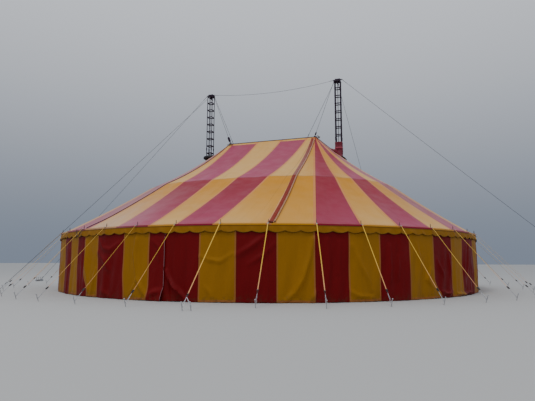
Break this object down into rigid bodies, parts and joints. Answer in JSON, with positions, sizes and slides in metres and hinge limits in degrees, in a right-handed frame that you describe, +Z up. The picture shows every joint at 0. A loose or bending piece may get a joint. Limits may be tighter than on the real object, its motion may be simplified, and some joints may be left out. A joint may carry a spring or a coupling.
{
  "type": "circus big top tent",
  "caption": "Round striped show tent with a short ridge, two lattice king poles, side poles, laced roof, valance, wall, webbing guys and wire stays.",
  "frame": {"origin": "on the ground, straight below the middle of the ridge", "axes": "+X along the ridge and through both king poles, +Z up, the pictured side faces -Y"},
  "size_m": [38.49, 30.6204, 13.592],
  "materials": {
    "roof_cloth": "satin coated tent cloth, yellow and red gores",
    "valance_cloth": "satin coated yellow tent cloth",
    "wall_cloth": "satin coated tent cloth, red and yellow stripes",
    "lacing_cloth": "satin coated red tent cloth",
    "red_sleeve": "red cloth sleeve",
    "black_cloth": "black cloth",
    "guy_webbing": "woven yellow webbing with steel stakes",
    "king_pole_paint": "dark painted steel",
    "galvanised_pole": "galvanised steel tube",
    "wire": "steel wire rope"
  },
  "bodies": {
    "root": {"king_pole_left": "king_pole_paint", "king_pole_head_left": "king_pole_paint", "ridge_hoist_left": "wire", "main_stay_left": "wire", "side_stay_left": "wire", "quarter_poles_left": "galvanised_pole", "entrance_leaf_left": "wall_cloth", "king_pole_right": "king_pole_paint", "king_pole_head_right": "king_pole_paint", "ridge_hoist_right": "wire", "main_stay_right": "wire", "side_stay_right": "wire", "quarter_poles_right": "galvanised_pole", "entrance_leaf_right": "wall_cloth", "pole_collar_left": "black_cloth", "pole_sleeve_right": "red_sleeve", "cross_wire": "wire", "ridge_beam": "king_pole_paint", "lacing_flap_near": "lacing_cloth", "lacing_flap_far": "lacing_cloth", "roof_panel_1": "roof_cloth", "valance_1": "valance_cloth", "wall_panel_1": "wall_cloth", "side_poles_1": "galvanised_pole", "guys_1": "guy_webbing", "roof_panel_2": "roof_cloth", "valance_2": "valance_cloth", "wall_panel_2": "wall_cloth", "side_poles_2": "galvanised_pole", "guys_2": "guy_webbing", "roof_panel_3": "roof_cloth", "valance_3": "valance_cloth", "wall_panel_3": "wall_cloth", "side_poles_3": "galvanised_pole", "guys_3": "guy_webbing", "roof_panel_4": "roof_cloth", "valance_4": "valance_cloth", "wall_panel_4": "wall_cloth", "side_poles_4": "galvanised_pole", "guys_4": "guy_webbing", "roof_panel_5": "roof_cloth", "valance_5": "valance_cloth", "wall_panel_5": "wall_cloth", "side_poles_5": "galvanised_pole", "guys_5": "guy_webbing", "roof_panel_6": "roof_cloth", "valance_6": "valance_cloth", "side_poles_6": "galvanised_pole", "guys_6": "guy_webbing"}
  },
  "joints": []
}
